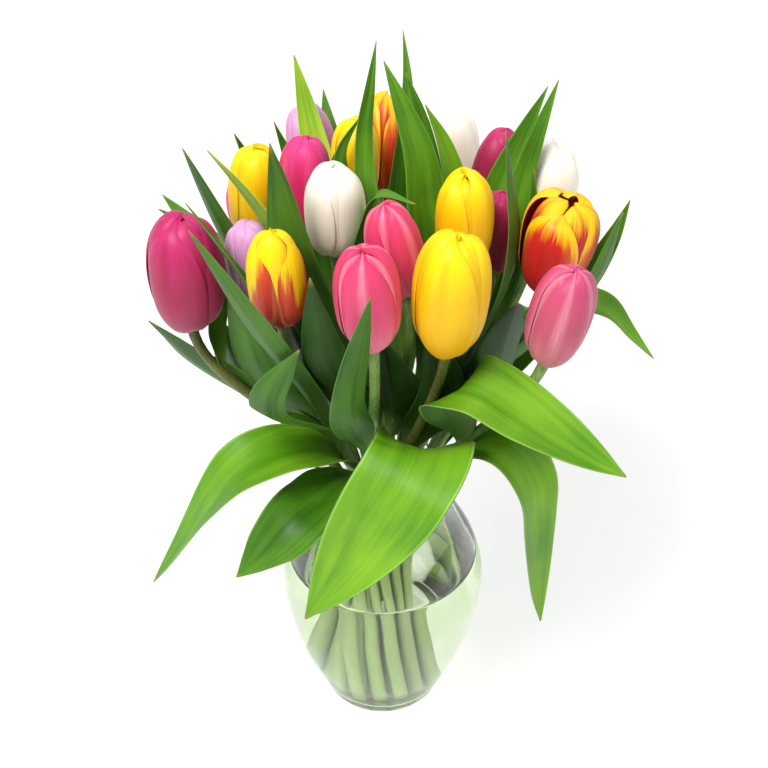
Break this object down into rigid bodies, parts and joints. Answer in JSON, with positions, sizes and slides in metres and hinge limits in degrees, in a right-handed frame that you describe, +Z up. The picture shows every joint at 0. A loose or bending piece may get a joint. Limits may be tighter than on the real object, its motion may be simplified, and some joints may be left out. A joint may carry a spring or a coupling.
{
  "type": "tulips in a vase",
  "caption": "Bunch of mixed tulips with long arching leaves standing in a clear glass rose-bowl vase.",
  "frame": {"origin": "middle of the vase's foot, on the surface it stands on", "axes": "+Z up along the vase's axis; -Y towards the side the bunch is looked at from; +X to the right seen from there"},
  "size_m": [0.3072, 0.2951, 0.4601],
  "materials": {
    "vase_glass": "clear smooth glass with a faint green tint",
    "leaf_green": "living leaf and stem, waxy satin green with fine parallel veins",
    "petal_magenta": "deep magenta petal, satin",
    "petal_pink": "hot pink petal, satin",
    "petal_rose": "rose pink petal with a paler middle, satin",
    "petal_pink_lilac": "pink petal turning lilac at the rim, satin",
    "petal_lilac": "pale lilac petal, satin",
    "petal_yellow": "bright yellow petal, satin",
    "petal_white": "cream white petal, satin",
    "petal_flame": "yellow petal with an orange-red flame, satin",
    "petal_ember": "red petal with yellow edges, satin"
  },
  "bodies": {
    "root": {"vase": "vase_glass", "stem_01": "leaf_green", "bloom_01": "petal_magenta", "stem_02": "leaf_green", "bloom_02": "petal_yellow", "stem_03": "leaf_green", "bloom_03": "petal_lilac", "stem_04": "leaf_green", "bloom_04": "petal_pink", "stem_05": "leaf_green", "bloom_05": "petal_white", "stem_06": "leaf_green", "bloom_06": "petal_lilac", "stem_07": "leaf_green", "bloom_07": "petal_flame", "stem_08": "leaf_green", "bloom_08": "petal_ember", "stem_09": "leaf_green", "bloom_09": "petal_yellow", "stem_10": "leaf_green", "bloom_10": "petal_rose", "stem_11": "leaf_green", "bloom_11": "petal_rose", "stem_12": "leaf_green", "bloom_12": "petal_yellow", "stem_13": "leaf_green", "bloom_13": "petal_yellow", "stem_14": "leaf_green", "bloom_14": "petal_white", "stem_15": "leaf_green", "bloom_15": "petal_magenta", "stem_16": "leaf_green", "bloom_16": "petal_white", "stem_17": "leaf_green", "bloom_17": "petal_ember", "stem_18": "leaf_green", "bloom_18": "petal_pink_lilac", "stem_19": "leaf_green", "bloom_19": "petal_magenta", "stem_20": "leaf_green", "bloom_20": "petal_pink", "stem_21": "leaf_green", "bloom_21": "petal_yellow", "stem_22": "leaf_green", "bloom_22": "petal_magenta", "stem_23": "leaf_green", "bloom_23": "petal_lilac", "stem_24": "leaf_green", "bloom_24": "petal_ember"}
  },
  "joints": []
}
